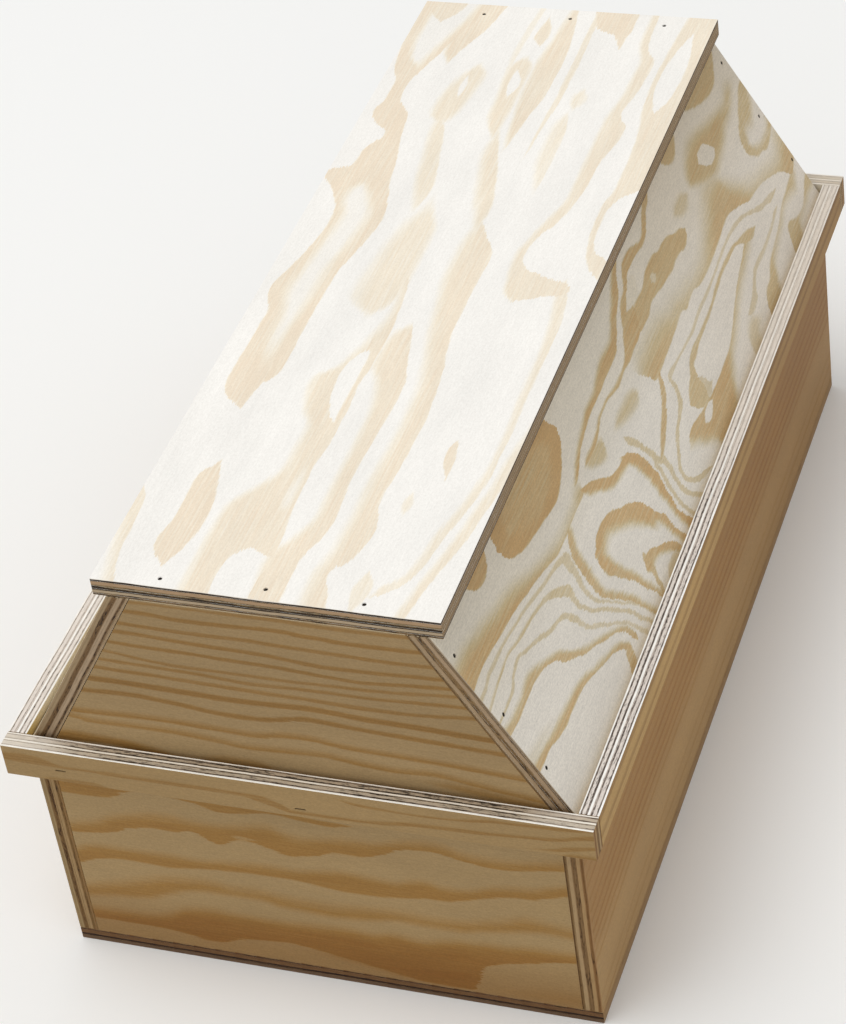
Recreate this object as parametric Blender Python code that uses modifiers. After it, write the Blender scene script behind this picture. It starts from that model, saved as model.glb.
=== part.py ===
"""Plywood pet coffin: a nailed box with a raised rim, and a lift-off lid with sloping sides.

Metres, +Z up. X runs across and Y along the coffin. The origin is the middle of the underside.
"""

from math import hypot, pi

import bmesh
import bpy
from mathutils import Matrix, Vector

# Boards
BOARD = 0.012            # thickness of the five-ply boards
BASE_BOARD = 0.009       # thickness of the base board
ARRIS = 0.0004           # width of the edge eased by sanding
GAP = 0.0003             # clearance between boards that are nailed together

# Box
BOX_WIDTH = 0.336        # over the outer faces of the side boards
BOX_LENGTH = 0.617       # over the outer faces of the end boards
RIM_TOP = 0.175          # top of the rim strips above the underside
RIM_DEPTH = 0.023        # height of the rim strips
RIM_STAND = 0.006        # how far the strips stand above the boards that they are nailed to

# Lid
LID_LENGTH = 0.612
LID_TOP = 0.304          # top face of the lid above the underside
TOP_BOARD_WIDTH = 0.206
LID_WIDTH_HIGH = 0.191   # over the sloping boards, under the top board
LID_WIDTH_LOW = 0.327    # over the sloping boards, level with the top of the rim

# Worked out from the sizes above
BOX_HALF_WIDTH = BOX_WIDTH / 2
BOX_HALF_LENGTH = BOX_LENGTH / 2
BOX_TOP = RIM_TOP - RIM_STAND
LID_HALF_LENGTH = LID_LENGTH / 2
LID_SEAT = BOX_TOP + GAP
UNDER_TOP_BOARD = LID_TOP - BOARD
SLOPE_TOP = UNDER_TOP_BOARD - GAP
LEAN = (LID_WIDTH_LOW - LID_WIDTH_HIGH) / 2 / (UNDER_TOP_BOARD - RIM_TOP)
LEAN_STRETCH = hypot(1, LEAN)


def remove_everything():
    """Empty the scene that the script starts in."""
    for thing in list(bpy.data.objects):
        bpy.data.objects.remove(thing, do_unlink=True)


def linear(channel):
    """One sRGB channel, 0 to 1, as a linear value."""
    if channel <= 0.04045:
        return channel / 12.92
    return ((channel + 0.055) / 1.055) ** 2.4


def plywood(name, hex_colour, roughness):
    """A plain softwood plywood material."""
    material = bpy.data.materials.new(name)
    material.use_nodes = True
    shader = material.node_tree.nodes["Principled BSDF"]
    channels = [int(hex_colour[i:i + 2], 16) / 255 for i in (0, 2, 4)]
    colour = [linear(channel) for channel in channels] + [1.0]
    shader.inputs["Base Color"].default_value = colour
    shader.inputs["Roughness"].default_value = roughness
    shader.inputs["Metallic"].default_value = 0.0
    material.diffuse_color = colour
    return material


def add_group(name, height, collection):
    """An empty that carries the boards of one assembly."""
    group = bpy.data.objects.new(name, None)
    group.location = (0, 0, height)
    collection.objects.link(group)
    return group


def finish_board(board, centre, group, collection):
    """Place a board under its group, and ease its edges."""
    collection.objects.link(board)
    board.parent = group
    board.location = Vector(centre) - group.location
    eased = board.modifiers.new("eased edges", "BEVEL")
    eased.width = ARRIS
    eased.segments = 1
    eased.limit_method = "ANGLE"


def square_board(name, low, high, material, group, collection):
    """A board with square edges, between two opposite corners."""
    low, high = Vector(low), Vector(high)
    mesh = bpy.data.meshes.new(name)
    shape = bmesh.new()
    bmesh.ops.create_cube(shape, size=1, matrix=Matrix.Diagonal((*(high - low), 1)))
    shape.to_mesh(mesh)
    shape.free()
    mesh.materials.append(material)
    board = bpy.data.objects.new(name, mesh)
    finish_board(board, (low + high) / 2, group, collection)


def shaped_board(name, outline, start_y, end_y, material, group, collection):
    """A board with the (x, z) outline of a cut across the coffin, from start_y to end_y."""
    curve = bpy.data.curves.new(name, "CURVE")
    curve.dimensions = "2D"
    curve.fill_mode = "BOTH"
    curve.extrude = (end_y - start_y) / 2
    edge = curve.splines.new("POLY")
    edge.points.add(len(outline) - 1)
    for point, (x, z) in zip(edge.points, outline):
        point.co = (x, z, 0, 1)
    edge.use_cyclic_u = True
    curve.materials.append(material)
    board = bpy.data.objects.new(name, curve)
    board.rotation_euler = (pi / 2, 0, 0)
    joined = board.modifiers.new("joined caps", "WELD")
    joined.merge_threshold = 0.00001
    finish_board(board, (0, (start_y + end_y) / 2, 0), group, collection)


def slope_face(height, depth=0.0):
    """X of the right sloping board at a height, at a depth under its outer face."""
    return LID_WIDTH_LOW / 2 + LEAN * (RIM_TOP - height) - depth * LEAN_STRETCH


def build_box(collection):
    """Base, two side boards, two end boards between them, and four rim strips."""
    box = add_group("box_assembly", 0, collection)
    side_wood = plywood("side board plywood", "A5845A", 0.6)
    end_wood = plywood("end board plywood", "AC9067", 0.6)
    rim_wood = plywood("rim strip plywood", "C3AE91", 0.62)
    base_wood = plywood("base board plywood", "7E6850", 0.7)

    square_board("base_board",
                 (-BOX_HALF_WIDTH, -BOX_HALF_LENGTH, 0),
                 (BOX_HALF_WIDTH, BOX_HALF_LENGTH, BASE_BOARD),
                 base_wood, box, collection)

    wall_foot = BASE_BOARD + GAP
    side_inside = BOX_HALF_WIDTH - BOARD
    end_inside = BOX_HALF_LENGTH - BOARD
    strip_inside = BOX_HALF_WIDTH + GAP
    strip_outside = strip_inside + BOARD
    strip_foot = RIM_TOP - RIM_DEPTH
    for side, word in ((-1, "left"), (1, "right")):
        inner, outer = sorted((side * side_inside, side * BOX_HALF_WIDTH))
        square_board("side_board_" + word,
                     (inner, -BOX_HALF_LENGTH, wall_foot),
                     (outer, BOX_HALF_LENGTH, BOX_TOP),
                     side_wood, box, collection)
        inner, outer = sorted((side * strip_inside, side * strip_outside))
        square_board("rim_strip_" + word,
                     (inner, -BOX_HALF_LENGTH, strip_foot),
                     (outer, BOX_HALF_LENGTH, RIM_TOP),
                     rim_wood, box, collection)

    for side, word in ((-1, "front"), (1, "rear")):
        inner, outer = sorted((side * end_inside, side * BOX_HALF_LENGTH))
        square_board("end_board_" + word,
                     (-side_inside + GAP, inner, wall_foot),
                     (side_inside - GAP, outer, BOX_TOP),
                     end_wood, box, collection)
        inner, outer = sorted((side * (BOX_HALF_LENGTH + GAP),
                               side * (BOX_HALF_LENGTH + GAP + BOARD)))
        square_board("rim_strip_" + word,
                     (-strip_outside, inner, strip_foot),
                     (strip_outside, outer, RIM_TOP),
                     rim_wood, box, collection)


def build_lid(collection):
    """Top board, two sloping side boards, and two end boards between them."""
    lid = add_group("lid_assembly", LID_SEAT, collection)
    top_wood = plywood("top board plywood", "EFE5D6", 0.55)
    slope_wood = plywood("sloping board plywood", "D3C6AE", 0.55)
    gable_wood = plywood("lid end plywood", "A58A63", 0.6)

    square_board("lid_top_board",
                 (-TOP_BOARD_WIDTH / 2, -LID_HALF_LENGTH, UNDER_TOP_BOARD),
                 (TOP_BOARD_WIDTH / 2, LID_HALF_LENGTH, LID_TOP),
                 top_wood, lid, collection)

    for side, word in ((-1, "left"), (1, "right")):
        outline = [(side * slope_face(LID_SEAT, BOARD), LID_SEAT),
                   (side * slope_face(LID_SEAT), LID_SEAT),
                   (side * slope_face(SLOPE_TOP), SLOPE_TOP),
                   (side * slope_face(SLOPE_TOP, BOARD), SLOPE_TOP)]
        shaped_board("lid_sloping_board_" + word, outline,
                     -LID_HALF_LENGTH, LID_HALF_LENGTH, slope_wood, lid, collection)

    low = slope_face(LID_SEAT, BOARD + GAP)
    high = slope_face(SLOPE_TOP, BOARD + GAP)
    outline = [(-low, LID_SEAT), (low, LID_SEAT), (high, SLOPE_TOP), (-high, SLOPE_TOP)]
    for side, word in ((-1, "front"), (1, "rear")):
        inner, outer = sorted((side * (LID_HALF_LENGTH - BOARD), side * LID_HALF_LENGTH))
        shaped_board("lid_end_board_" + word, outline,
                     inner, outer, gable_wood, lid, collection)


remove_everything()
coffin = bpy.data.collections.new("pet_coffin")
bpy.context.scene.collection.children.link(coffin)
build_box(coffin)
build_lid(coffin)
bpy.context.view_layer.update()
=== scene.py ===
import math

import bmesh
import bpy
from mathutils import Matrix, Vector


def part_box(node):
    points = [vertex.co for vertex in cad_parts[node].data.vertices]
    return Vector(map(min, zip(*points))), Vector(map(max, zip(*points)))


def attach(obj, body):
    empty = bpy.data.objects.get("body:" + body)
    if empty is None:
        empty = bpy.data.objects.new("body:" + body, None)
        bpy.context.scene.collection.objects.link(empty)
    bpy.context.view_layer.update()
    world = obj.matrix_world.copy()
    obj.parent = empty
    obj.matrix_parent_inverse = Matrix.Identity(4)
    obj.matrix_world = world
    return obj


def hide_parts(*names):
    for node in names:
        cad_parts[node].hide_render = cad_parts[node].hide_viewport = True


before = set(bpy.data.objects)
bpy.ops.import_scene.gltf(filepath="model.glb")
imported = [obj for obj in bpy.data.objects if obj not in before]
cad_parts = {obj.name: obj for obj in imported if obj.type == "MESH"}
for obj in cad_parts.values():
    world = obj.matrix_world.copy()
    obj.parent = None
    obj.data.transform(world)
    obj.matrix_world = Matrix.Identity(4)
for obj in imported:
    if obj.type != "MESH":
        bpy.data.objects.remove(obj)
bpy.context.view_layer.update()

# Base board
# A sheet of thin softwood plywood, sawn to the outer size of the walls and nailed up under them.
# Its edge shows the plies: those with the grain along the cut are pale, those cut across are dark.
MM = 0.001
ARRIS = 0.4 * MM
GROOVE_DEPTH = 0.25 * MM
GROOVE_WIDTH = 0.2 * MM
X, Y, Z = Vector((1, 0, 0)), Vector((0, 1, 0)), Vector((0, 0, 1))


def colour(hex_value):
    """An sRGB hex colour as linear RGBA."""
    channels = [int(hex_value[i:i + 2], 16) / 255 for i in (0, 2, 4)]
    return [c / 12.92 if c <= 0.04045 else ((c + 0.055) / 1.055) ** 2.4 for c in channels] + [1]


def add(tree, kind, inputs=None, out=0, stops=(), line=(), **settings):
    """Add a shader node with its settings, and set or link its inputs; returns one output.

    Stops are a ramp's positions and hex colours, and line holds the points of a curve.
    """
    made = tree.nodes.new("ShaderNode" + kind)
    for name, value in settings.items():
        setattr(made, name, value)
    for key, value in (inputs or {}).items():
        if isinstance(value, bpy.types.NodeSocket):
            tree.links.new(value, made.inputs[key])
        else:
            made.inputs[key].default_value = value
    for number, (position, hex_value) in enumerate(stops):
        elements = made.color_ramp.elements
        element = elements[number] if number < 2 else elements.new(position)
        element.position, element.color = position, colour(hex_value)
    for number, location in enumerate(line):
        points = made.mapping.curves[0].points
        point = points[number] if number < 2 else points.new(*location)
        point.location, point.handle_type = location, "AUTO_CLAMPED"
    if line:
        made.mapping.update()
    return made.outputs[out]


def lay_out(corner, along, outward):
    """Where a board goes: x runs along its face grain, y across it and z into it from its outer face."""
    x, z = Vector(along).normalized(), -Vector(outward).normalized()
    y = z.cross(x)
    place = Matrix((x, y, z)).transposed().to_4x4()
    place.translation = corner
    return place


def saw_board(name, low, high, glue_lines, cuts=()):
    """A board flat on the bench, between two corners, less what each (point, direction) cut takes off.

    Its edges are eased, and a hairline groove runs round it at each glue line.
    """
    bpy.ops.object.select_all(action="DESELECT")
    low, high = Vector(low), Vector(high)
    bpy.ops.mesh.primitive_cube_add(size=1, location=(low + high) / 2)
    board = bpy.context.object
    board.name = board.data.name = name
    board.scale = high - low
    bpy.ops.object.transform_apply(location=True, rotation=True, scale=True)
    bpy.ops.object.mode_set(mode="EDIT")
    for point, direction in cuts:
        bpy.ops.mesh.select_all(action="SELECT")
        bpy.ops.mesh.bisect(plane_co=point, plane_no=direction, use_fill=True, clear_outer=True)
    bpy.ops.mesh.select_all(action="SELECT")
    bpy.ops.mesh.bevel(offset=ARRIS, segments=2, affect="EDGES")
    for line in glue_lines:
        for side in (-1, 1):
            bpy.ops.mesh.select_all(action="SELECT")
            bpy.ops.mesh.bisect(plane_co=(0, 0, line + side * GROOVE_WIDTH / 2), plane_no=(0, 0, 1))
    bpy.ops.mesh.select_all(action="DESELECT")
    bpy.ops.mesh.select_mode(type="FACE")
    shape = bmesh.from_edit_mesh(board.data)
    for face in shape.faces:
        depth = face.calc_center_median().z
        if any(abs(depth - line) < GROOVE_WIDTH / 4 for line in glue_lines):
            face.select = True
    bmesh.update_edit_mesh(board.data)
    bpy.ops.mesh.extrude_region_shrink_fatten(TRANSFORM_OT_shrink_fatten={"value": -GROOVE_DEPTH})
    bpy.ops.object.mode_set(mode="OBJECT")
    return board


def finish_board(board, face, long_edge, end_edge, back=None):
    """Give a board on the bench its finishes, by the way each of its faces looks."""
    for material in (face, long_edge, end_edge, back):
        if material:
            board.data.materials.append(material)
    for polygon in board.data.polygons:
        x, y, z = (abs(n) for n in polygon.normal)
        if z < 0.6:
            polygon.material_index = 1 if y >= x else 2
        elif back and polygon.normal.z > 0:
            polygon.material_index = 3


def put_in_place(piece, place):
    """Set a piece from the bench where it is nailed."""
    bpy.ops.object.select_all(action="DESELECT")
    bpy.context.view_layer.objects.active = piece
    piece.select_set(True)
    piece.matrix_world = place
    bpy.ops.object.transform_apply(location=True, rotation=True, scale=True)


PIN_RADIUS, WIRE_RADIUS = 1.2, 0.3
HEAD_THICKNESS, HEAD_MIDDLE, HEAD_ARRIS = 0.5, 0.6, 0.08
DIMPLE_MARGIN, DIMPLE_DEPTH = 0.3, 0.8


def sink_heads(board, name, spots):
    """Punch a steel head just under the board's face at each (x, y, crown length) in millimetres.

    A pin has a round head and no crown. A staple shows its crown of wire, along the grain.
    Returns the heads as one piece, still on the bench.
    """
    made = {"dimples": [], "heads": []}
    for x, y, crown in spots:
        radius = WIRE_RADIUS if crown else PIN_RADIUS
        for kind, pieces in made.items():
            bpy.ops.object.select_all(action="DESELECT")
            if kind == "dimples":
                width = (radius + DIMPLE_MARGIN) * MM
                bpy.ops.mesh.primitive_uv_sphere_add(segments=16, ring_count=8, radius=1)
                bpy.context.object.scale = (width, width, DIMPLE_DEPTH * MM)
            else:
                bpy.ops.mesh.primitive_cylinder_add(vertices=16, radius=radius * MM,
                                                    depth=HEAD_THICKNESS * MM)
                bpy.context.object.location = (0, 0, HEAD_MIDDLE * MM)
            bpy.ops.object.transform_apply(location=True, rotation=True, scale=True)
            pieces.append(bpy.context.object)
            bpy.ops.object.mode_set(mode="EDIT")
            for side in (-1, 1):
                bpy.ops.mesh.select_all(action="DESELECT")
                bpy.ops.mesh.select_mode(type="VERT")
                shape = bmesh.from_edit_mesh(pieces[-1].data)
                for vert in shape.verts:
                    vert.select = vert.co.x * side > 0.01 * MM
                shape.select_flush_mode()
                bmesh.update_edit_mesh(pieces[-1].data)
                bpy.ops.transform.translate(value=(side * crown / 2 * MM, 0, 0))
            bpy.ops.mesh.select_all(action="SELECT")
            if kind == "heads":
                bpy.ops.mesh.bevel(offset=HEAD_ARRIS * MM, segments=2, affect="EDGES")
            bpy.ops.transform.translate(value=(x * MM, y * MM, 0))
            bpy.ops.object.mode_set(mode="OBJECT")
    for pieces in made.values():
        bpy.ops.object.select_all(action="DESELECT")
        for piece in pieces:
            piece.select_set(True)
        bpy.context.view_layer.objects.active = pieces[0]
        bpy.ops.object.join()
    punch, heads = made["dimples"][0], made["heads"][0]
    dent = board.modifiers.new("dent", "BOOLEAN")
    dent.object, dent.operation, dent.solver = punch, "DIFFERENCE", "EXACT"
    bpy.context.view_layer.objects.active = board
    bpy.ops.object.modifier_apply(modifier=dent.name)
    bpy.data.objects.remove(punch)
    heads.name = heads.data.name = name
    heads.data.materials.append(STEEL)
    return heads


def bare_wood(name, place, paint):
    """Softwood of IOR 1.5 without varnish, so with almost no gloss.

    Paint gets the node tree and millimetres on the board (x along the face grain, y across it and
    z down through the plies), and gives the colour, the roughness, and a relief with its depth.
    """
    material = bpy.data.materials.new(name)
    material.use_nodes = True
    tree = material.node_tree
    spot = add(tree, "TexCoord", out="Object")
    bench = add(tree, "Mapping", {"Vector": spot, "Location": place.translation,
                                  "Rotation": place.to_euler(), "Scale": (MM, MM, MM)},
                vector_type="TEXTURE")
    tint, roughness, height, depth = paint(tree, bench)
    shader = tree.nodes["Principled BSDF"]
    tree.links.new(tint, shader.inputs["Base Color"])
    shader.inputs["IOR"].default_value = 1.5
    shader.inputs["Specular IOR Level"].default_value = 0.2
    shader.inputs["Roughness"].default_value = roughness
    bump = add(tree, "Bump", {"Height": height, "Distance": depth * MM, "Strength": 1})
    tree.links.new(bump, shader.inputs["Normal"])
    return material


def grain(tree, bench, size, detail=2, roughness=0.5, seed=0, out=0):
    """Blotches drawn out along the fibres, of a size in millimetres along, across and through the board."""
    spot = add(tree, "Mapping", {"Vector": bench, "Location": (seed * 7.3, seed * 3.1, seed * 5.7),
                                 "Scale": [1 / s for s in size]})
    return add(tree, "TexNoise", {"Vector": spot, "Scale": 1, "Detail": detail,
                                  "Roughness": roughness}, out=out)


SANDED_ROUGHNESS, SANDED_DEPTH = 0.6, 0.06


def sand(tree, bench, tint, painted_shading=(), speck=0.11):
    """A sanded face: streaked by fibres half a millimetre apart, with specks and faint broad clouds.

    Painted shading darkens the colour towards one side: a hex colour to multiply by, and the (x, y) in
    millimetres where it is full and where it has gone. It paints shade on the darker side; where it
    darkens all but a foot, it paints light on that foot. Speck is how strong the specks are.
    """
    for shade, full, gone in painted_shading:
        full, gone = Vector(full), Vector(gone)
        way = (gone - full) / (gone - full).length_squared
        along = add(tree, "VectorMath", {0: bench, 1: (*way, 0)}, out="Value", operation="DOT_PRODUCT")
        pale = add(tree, "MapRange", {"Value": along, "From Min": full.dot(way), "From Max": gone.dot(way)},
                   interpolation_type="SMOOTHSTEP")
        shade_ramp = add(tree, "ValToRGB", {0: pale}, stops=[(0, shade), (1, "FFFFFF")])
        tint = add(tree, "VectorMath", {0: tint, 1: shade_ramp}, operation="MULTIPLY")
    fibres = grain(tree, bench, (9, 0.5, 60), detail=3, roughness=0.75, seed=2)
    specks = grain(tree, bench, (1.6, 1.0, 60), detail=3, roughness=0.7, seed=9)
    clouds = grain(tree, bench, (80, 24, 300), seed=10)
    for pattern, reach in ((fibres, speck * 0.7), (specks, speck), (clouds, 0.035)):
        lift = add(tree, "MapRange", {"Value": pattern, "From Min": 0.3, "From Max": 0.7,
                                      "To Min": 1 - reach, "To Max": 1 + reach})
        tint = add(tree, "VectorMath", {0: tint, 1: lift}, operation="MULTIPLY")
    return tint, SANDED_ROUGHNESS, fibres, SANDED_DEPTH


def wander(tree, bench, drift=(5, 3), fray=(14, 1.8)):
    """Millimetres on the board, bent a little, so that a ring wavers, and frays along the fibres."""
    for seed, (size, reach) in enumerate((((32, 9, 300), drift), ((8, 0.8, 60), fray))):
        shift = grain(tree, bench, size, detail=3, seed=seed, out="Color")
        shift = add(tree, "VectorMath", {0: shift, 1: (0.5, 0.5, 0.5)}, operation="SUBTRACT")
        bench = add(tree, "VectorMath", {0: shift, 1: (*reach, 0), 2: bench}, operation="MULTIPLY_ADD")
    return bench


def ringed_veneer(name, place, stops, start, rings_per_mm, humps=(), drift=(5, 3), uneven=6, painted_shading=()):
    """A veneer whose growth rings are the contour lines of a height field.

    The height is start, plus rings_per_mm across the grain, plus humps of
    (x, y, half length, half width, turn, flank, rings) in millimetres and degrees.
    Each ring goes slowly from pale earlywood to latewood, and ends sharply. Uneven is how far,
    in millimetres, good and bad years shift the rings.
    """
    def paint(tree, bench):
        spot = wander(tree, bench, drift)
        across = add(tree, "SeparateXYZ", {0: spot}, out="Y")
        widths = grain(tree, bench, (500, 13, 300), seed=11)
        across = add(tree, "Math", {0: widths, 1: uneven, 2: across}, operation="MULTIPLY_ADD")
        field = add(tree, "Math", {0: across, 1: rings_per_mm, 2: start}, operation="MULTIPLY_ADD")
        for x, y, half_length, half_width, turn, flank, rings in humps:
            there = add(tree, "Mapping", {"Vector": spot, "Location": (x, y, 0),
                                          "Rotation": (0, 0, math.radians(turn)),
                                          "Scale": (half_length, half_width, 1000)},
                        vector_type="TEXTURE")
            cone = add(tree, "TexGradient", {0: there}, out="Fac", gradient_type="SPHERICAL")
            hump = add(tree, "MapRange", {"Value": cone, "From Max": flank, "To Max": rings},
                       interpolation_type="SMOOTHSTEP")
            field = add(tree, "Math", {0: field, 1: hump}, operation="ADD")
        phase = add(tree, "Math", {0: field}, operation="FRACT")
        return sand(tree, bench, add(tree, "ValToRGB", {0: phase}, stops=stops), painted_shading)
    return bare_wood("sanded_softwood_veneer_" + name, place, paint)


SPAN = 640
PLY_SWAY = 1.4
SAWN_ROUGHNESS, TORN_DEPTH = 0.75, 0.12
BEADS = (4.5, 0.6, 0.6)


def ply_edge(name, place, layers, torn_hex, cleaner=None, beads=BEADS, seed=0):
    """Plywood's sawn edge, with its plies and glue lines as (millimetres thick, colour, how torn).

    The saw tears the end grain and the glue lines out in short dark dashes, and leaves long grain clean.
    Beads are the dashes' length and height in millimetres, and how much they keep to patches.
    Cleaner is a colour, with (millimetres along the board, share) points for how much of all that shows.
    The plies sway by PLY_SWAY, and a curve along a board runs from 0 to 1 over SPAN, in millimetres.
    """
    dash_length, dash_height, patchy = beads
    thickness = sum(layer[0] for layer in layers)
    tints, tears = [], []
    for number, (thick, layer_hex, tear) in enumerate(layers):
        top = sum(layer[0] for layer in layers[:number])
        melt = min(0.4, thick / 4)
        for depth in (top + melt, top + thick - melt):
            tints.append((depth / thickness, layer_hex))
            tears.append((depth / thickness, tear))

    def paint(tree, bench):
        sway = grain(tree, bench, (45, 45, 300), seed=3 + seed)
        depth = add(tree, "SeparateXYZ", {0: bench}, out="Z")
        depth = add(tree, "Math", {0: sway, 1: PLY_SWAY, 2: depth}, operation="MULTIPLY_ADD")
        depth = add(tree, "Math", {0: depth, 1: PLY_SWAY / 2}, operation="SUBTRACT")
        depth = add(tree, "Math", {0: depth, 1: thickness}, operation="DIVIDE")
        tint = add(tree, "ValToRGB", {0: depth}, stops=tints)
        torn = add(tree, "FloatCurve", {"Value": depth}, line=tears)
        if cleaner:
            clean_hex, shares = cleaner
            share = add(tree, "SeparateXYZ", {0: bench}, out="X")
            share = add(tree, "Math", {0: share, 1: SPAN}, operation="DIVIDE")
            share = add(tree, "FloatCurve", {"Value": share}, line=[(x / SPAN, left) for x, left in shares])
            tint = add(tree, "Mix", {0: share, 6: colour(clean_hex), 7: tint}, out=2, data_type="RGBA")
            torn = add(tree, "Math", {0: torn, 1: share}, operation="MULTIPLY")
        dashes = grain(tree, bench, (dash_length, dash_length, dash_height), detail=3, roughness=0.6,
                       seed=4 + seed)
        patches = grain(tree, bench, (24, 24, 2), detail=3, seed=5 + seed)
        torn = add(tree, "Math", {0: torn, 1: 0.9, 2: dashes}, operation="MULTIPLY_ADD")
        torn = add(tree, "Math", {0: patches, 1: patchy, 2: torn}, operation="MULTIPLY_ADD")
        sound = 0.9 + patchy / 2
        mark = add(tree, "MapRange", {"Value": torn, "From Min": sound, "From Max": sound + 0.26},
                   interpolation_type="SMOOTHSTEP")
        tint = add(tree, "Mix", {0: mark, 6: tint, 7: colour(torn_hex)}, out=2, data_type="RGBA")
        mottle = grain(tree, bench, (7, 7, 1.1), detail=3, roughness=0.65, seed=6 + seed)
        lift = add(tree, "MapRange", {"Value": mottle, "From Min": 0.3, "From Max": 0.7,
                                      "To Min": 0.88, "To Max": 1.1})
        tint = add(tree, "VectorMath", {0: tint, 1: lift}, operation="MULTIPLY")
        surface = add(tree, "Math", {0: 1.0, 1: mark}, operation="SUBTRACT")
        return tint, SAWN_ROUGHNESS, surface, TORN_DEPTH
    return bare_wood("sawn_plywood_edge_" + name, place, paint)


# Dull steel, darkened by the air: small dark specks with hardly a glint.
TARNISH = 0.4 * MM
STEEL = bpy.data.materials.new("drawn_steel_wire")
STEEL.use_nodes = True
steel_tree = STEEL.node_tree
steel_shader = steel_tree.nodes["Principled BSDF"]
steel_shader.inputs["Metallic"].default_value = 1
steel_spot = add(steel_tree, "TexCoord", out="Object")
tarnish = add(steel_tree, "TexNoise", {"Vector": steel_spot, "Scale": 1 / TARNISH, "Detail": 3})
steel_tree.links.new(add(steel_tree, "ValToRGB", {0: tarnish}, stops=[(0.35, "1E1A17"), (0.7, "443D37")]),
                     steel_shader.inputs["Base Color"])
steel_tree.links.new(add(steel_tree, "MapRange", {"Value": tarnish, "To Min": 0.7, "To Max": 0.45}),
                     steel_shader.inputs["Roughness"])

THIN_GLUE = [1.0 * MM, 3.4 * MM, 5.6 * MM, 8.0 * MM]
LONG_TORN = "4A3828"
BASE_LONG_PLIES = [(1.0, "A2856A", 0.1), (2.2, "9C8060", 0.3), (1.7, "A0825C", 0.15), (3.1, "9A7A54", 0.35),
                   (1.0, "A08058", 0.2)]
BASE_END_PLIES = [(1.0, "6A5544", 0.2), (2.2, "6A533F", 0.3), (1.7, "462E1A", 0.7), (3.1, "725234", 0.3),
                  (1.0, "5A4030", 0.55)]
BASE_PINS = [(x, y, 0) for y in (6, 330) for x in (40, 220, 400, 577)] + [(6, 168, 0), (611, 168, 0)]
low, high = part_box("base_board")
place = lay_out((high.x, low.y, low.z), Y, -Z)
size = (high.y - low.y, high.x - low.x, high.z - low.z)
base = saw_board("base_board_plywood", (0, 0, 0), size, THIN_GLUE)
finish_board(base,
             ringed_veneer("base", place, [(0, "B08E62"), (0.5, "B08E62"), (0.97, "946A3C")],
                           start=0.2, rings_per_mm=1 / 14),
             ply_edge("base_long", place, BASE_LONG_PLIES, LONG_TORN),
             ply_edge("base_end", place, BASE_END_PLIES, torn_hex="2A1A10", seed=2))
base_pins = sink_heads(base, "base_board_pins", BASE_PINS)
for piece in (base, base_pins):
    put_in_place(piece, place)
    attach(piece, "root")
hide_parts("base_board")

# Side boards
# Two long boards of five-ply softwood plywood that cover the ends of the end boards, nailed to them.
# Their face grain runs lengthwise in close, nearly straight lines of darker latewood.
GLUE = [1.6 * MM, 5.1 * MM, 7.1 * MM, 10.5 * MM]
END_TORN = "40260F"
LONG_GRAIN, CROSS_GRAIN, GLUE_LINE = ("D8C8AC", 0), ("A08C6E", 0.4), ("8C765C", 0.7)
LONG_PLIES = [(1.3, *LONG_GRAIN), (0.7, *GLUE_LINE), (2.7, *CROSS_GRAIN), (0.8, *GLUE_LINE),
              (1.2, *LONG_GRAIN), (0.9, *GLUE_LINE), (2.5, *CROSS_GRAIN), (0.8, *GLUE_LINE),
              (1.1, *LONG_GRAIN)]
END_PLIES = {"right": [(0.6, "A07E58", 0.1), (2.1, "805C35", 0.4), (2.3, "A6865C", 0.15),
                       (3.1, "7E613E", 0.45), (2.7, "A88C66", 0.15), (1.2, "725632", 0.4)],
             "left": [(3.3, "98805A", 0.1), (2.9, "755732", 0.5), (2.9, "9E8159", 0.15),
                      (1.7, "785A32", 0.45), (1.2, "8A6A42", 0.2)]}
SIDE_LINES = [(24, 0.5), (34, 0.4), (43, 0.55), (54, 0.4), (63, 0.5), (71, 0.65), (80, 0.6), (88, 0.7),
              (96, 0.65), (104.5, 0.55), (136, 0.3), (146, 0.4)]
SIDE_BANDS = [([(0, y + 9, y + 12.5), (55, y + 4, y + 7.5), (110, y, y + 3.5), (617, y, y + 3.5)],
               3, 2.5, strength) for y, strength in SIDE_LINES]


def copy_board(pattern, name):
    """One more board like the pattern, with a mesh of its own."""
    board = pattern.copy()
    board.data = pattern.data.copy()
    board.name = board.data.name = name
    bpy.context.scene.collection.objects.link(board)
    return board


BREADTH, MARGIN = 300, 20
SOFT, ISLAND = 3, 0.4


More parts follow.
